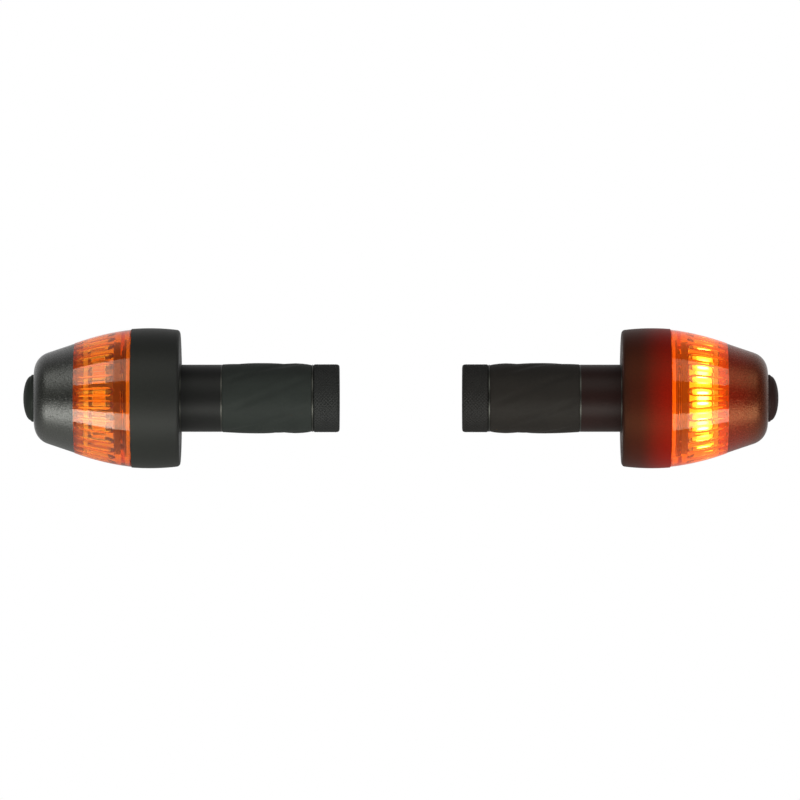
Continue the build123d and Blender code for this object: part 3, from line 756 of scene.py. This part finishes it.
# Light cores: satin brown nylon drums, moulded, each wrapped in a flexible board under a smooth
# solder mask. The mask is painted brown on the unlit light as painted shade, and white on the lit
# one, where the lamps' colour is painted on as a glow round each lamp. Both materials' grains are
# drawn coarser than real, so that they show.
lamp_count = 8
lamp_middle = 0.01816
halo_reach = 0.0010
halo_across = 6.6
# Painted glow on the lit light's board: its colour, its strength at each lamp and its strength elsewhere.
mask_painted_glow = ("#ffb850", 7.0, 1.8)
mask_finish = {
    "roughness": 0.35, "specular": 0.5, "grain": 0.0008, "depth": 0.000003, "variation": 0.05,
}


def lamp_and_painted_glow(tree, bright, dim):
    """Strength of a glow on the right light, bright at each lamp and dim away from it: the lamps' own
    light in their windows, painted glow on the packages and the board.
    """
    place, height = height_above_seat(tree, "right")
    parts = add_node(tree, "ShaderNodeSeparateXYZ", {0: place})
    turn = add_node(
        tree, "ShaderNodeMath", {0: parts.outputs["Y"], 1: parts.outputs["Z"]}, operation="ARCTAN2",
    )
    pitch = add_node(
        tree, "ShaderNodeMath",
        {0: turn.outputs[0], 1: lamp_count / (2 * math.pi), 2: 0.5}, operation="MULTIPLY_ADD",
    )
    share = add_node(
        tree, "ShaderNodeMath", {0: pitch.outputs[0], 1: 1.0}, operation="FLOORED_MODULO",
    )
    across = add_node(
        tree, "ShaderNodeMath",
        {0: share.outputs[0], 1: halo_across, 2: -halo_across / 2}, operation="MULTIPLY_ADD",
    )
    along = add_node(
        tree, "ShaderNodeMath", {0: height, 1: 1 / halo_reach, 2: -lamp_middle / halo_reach},
        operation="MULTIPLY_ADD",
    )
    square = add_node(
        tree, "ShaderNodeMath", {0: across.outputs[0], 1: across.outputs[0]}, operation="MULTIPLY",
    )
    both = add_node(
        tree, "ShaderNodeMath",
        {0: along.outputs[0], 1: along.outputs[0], 2: square.outputs[0]}, operation="MULTIPLY_ADD",
    )
    fall = add_node(
        tree, "ShaderNodeMath", {0: math.exp(-1), 1: both.outputs[0]}, operation="POWER",
    )
    return add_node(
        tree, "ShaderNodeMath", {0: fall.outputs[0], 1: bright, 2: dim}, operation="MULTIPLY_ADD",
    ).outputs[0]


nylon_finish = {"roughness": 0.5, "specular": 0.3, "grain": 0.0004, "depth": 0.000006}
brown_nylon = moulded("brown_moulded_nylon", "#9c5a3c", **nylon_finish)
# Two copies of one mask: brown as painted shade on the unlit light, white with painted glow on the lit
# one.
masks = {
    "left": moulded("unlit_solder_mask", "#6b5a48", **mask_finish),
    "right": moulded("lit_solder_mask", "#dcdad0", glow=mask_painted_glow, **mask_finish),
}
for side, mask in masks.items():
    dress(f"{side}_light_core", brown_nylon)
    dress(f"{side}_led_strip", mask)

# Lamps: flat packages of white moulded plastic soldered to the board round the drum, each with a
# sunk window of clear resin full of phosphor. The window looks egg-yolk yellow when off, and
# nearly white when on.
lamp_inner, lamp_outer = 0.00712, 0.00822
lamp_low, lamp_high = 0.01654, 0.01979
lamp_width = 0.005
lamp_bevel = 0.00015
bevel_wide_share, bevel_long_share = 0.95, 0.94
window_share, window_floor_share = 0.86, 0.96
window_sink = 0.00012
lamp_crease = 20
# The lit packages' glow is painted light. The windows' glow is the lamps' own.
package_painted_glow = ("#ffd870", 9.0, 2.2)
window_glow = ("#fff2c0", 34.0, 2.0)
powder_grain = 0.00025
powder_light = "#f0c850"
resin_roughness = 0.25


def phosphor(name, colour, glow=None):
    """Yellow phosphor in clear resin, which glows when the lamp is on. Its powder is drawn coarse."""
    material = bpy.data.materials.new(name)
    material.use_nodes = True
    tree = material.node_tree
    tree.nodes.clear()
    place = add_node(tree, "ShaderNodeTexCoord").outputs["Object"]
    powder = add_node(
        tree, "ShaderNodeTexNoise", {"Vector": place, "Scale": 1 / powder_grain, "Detail": 2.0},
    )
    tone = add_node(
        tree, "ShaderNodeMix",
        {0: powder.outputs[0], 6: linear(colour), 7: linear(powder_light)}, data_type="RGBA",
    )
    inputs = {"Base Color": tone.outputs[2], "Roughness": resin_roughness}
    if glow:
        inputs["Emission Color"] = linear(glow[0])
        inputs["Emission Strength"] = lamp_and_painted_glow(tree, *glow[1:])
    shader = add_node(tree, "ShaderNodeBsdfPrincipled", inputs)
    add_node(tree, "ShaderNodeOutputMaterial", {"Surface": shader.outputs[0]})
    return material


package_finish = {
    "roughness": 0.4, "specular": 0.5, "grain": 0.0006, "depth": 0.000002, "variation": 0.02,
}
packages = {
    "left": moulded("unlit_lamp_package", "#efeee8", **package_finish),
    "right": moulded("lit_lamp_package", "#efeee8", glow=package_painted_glow, **package_finish),
}
windows = {
    "left": phosphor("unlit_phosphor", "#f0b02a"),
    "right": phosphor("lit_phosphor", "#e8b432", window_glow),
}
corners = ((-1, -1), (1, -1), (1, 1), (-1, 1))
middle, half = (lamp_low + lamp_high) / 2, (lamp_high - lamp_low) / 2
sunk_share = window_share * window_floor_share
rings = (
    (lamp_inner, 1.0, 1.0), (lamp_outer - lamp_bevel, 1.0, 1.0),
    (lamp_outer, bevel_wide_share, bevel_long_share), (lamp_outer, window_share, window_share),
    (lamp_outer - window_sink, sunk_share, sunk_share),
)
for side in outward:
    vertices, faces, window_faces = [], [], []
    for k in range(lamp_count):
        angle = 2 * math.pi * k / lamp_count
        start = len(vertices)
        for out, wide, long in rings:
            for a, b in corners:
                across, height = a * wide * lamp_width / 2, middle + b * long * half
                vertices.append(placed(side, angle, out, across, height))
        faces.append(tuple(start + i for i in (3, 2, 1, 0)))
        for ring in range(len(rings) - 1):
            for i in range(4):
                a, b = start + 4 * ring + i, start + 4 * ring + (i + 1) % 4
                faces.append((a, b, b + 4, a + 4))
        window_faces.append(len(faces))
        faces.append(tuple(start + 4 * (len(rings) - 1) + i for i in range(4)))
    lamps = solid_of(f"{side}_lamp_packages", vertices, faces, lamp_crease)
    lamps.data.materials.append(packages[side])
    lamps.data.materials.append(windows[side])
    for index in window_faces:
        lamps.data.polygons[index].material_index = 1
    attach(lamps, f"{side}_head")
    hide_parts(f"{side}_leds")

# Chassis and cell holders: satin moulded nylon, dark brown for the chassis that ties the base,
# the lens ledge and the core together, and black for the holder clipped round the cells.
dark_nylon = moulded("dark_moulded_nylon", "#3a2118", **nylon_finish)
black_nylon = moulded("black_moulded_nylon", "#151516", **nylon_finish)
for side in outward:
    dress(f"{side}_chassis", dark_nylon)
    dress(f"{side}_cell_holder", black_nylon)

# Boards: glass laminate under a smooth white solder mask, whose bright edge shows through the
# lens. The chips and the push switch are dull black moulded epoxy, and the switch's plunger is
# white moulded ABS, slightly glossy.
board_white = moulded(
    "white_solder_mask", "#dedacd",
    roughness=0.3, specular=0.5, grain=0.0006, depth=0.000004, variation=0.03,
)
chip_epoxy = moulded(
    "black_chip_epoxy", "#1a1a1a", roughness=0.55, specular=0.4, grain=0.0003, depth=0.000004,
)
white_abs = moulded(
    "white_moulded_abs", "#e8e6df",
    roughness=0.5, specular=0.4, grain=0.0006, depth=0.000004, variation=0.03,
)
for side in outward:
    dress(f"{side}_circuit_board", board_white)
    for piece in ("board_components", "tact_switch"):
        dress(f"{side}_{piece}", chip_epoxy)
    dress(f"{side}_switch_plunger", white_abs)

# Seals: moulded nitrile O-rings, dull black, held in grooves round the lip, the spigot and the
# button. Each is given by its name, its circle's radius, its height above the seat and half its
# thickness.
nitrile = moulded(
    "black_nitrile_rubber", "#161616", roughness=0.6, specular=0.3, grain=0.0004, depth=0.000004,
)
seals = (
    ("lens_rear_seal", 0.01455, 0.0107, 0.00038), ("lens_front_seal", 0.01155, 0.0245, 0.00038),
    ("button_seal", 0.00582, 0.0323, 0.0004),
)
ring_steps = 16
ring_crease = 60
for side in outward:
    for name, circle, height, half in seals:
        turns = [2 * math.pi * k / ring_steps for k in range(ring_steps)]
        profile = [(circle + half * math.cos(t), height + half * math.sin(t)) for t in turns]
        ring = turned(f"{side}_{name}_ring", profile, side, round_segments, crease=ring_crease)
        ring.data.materials.append(nitrile)
        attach(ring, f"{side}_head")
        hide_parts(f"{side}_{name}")
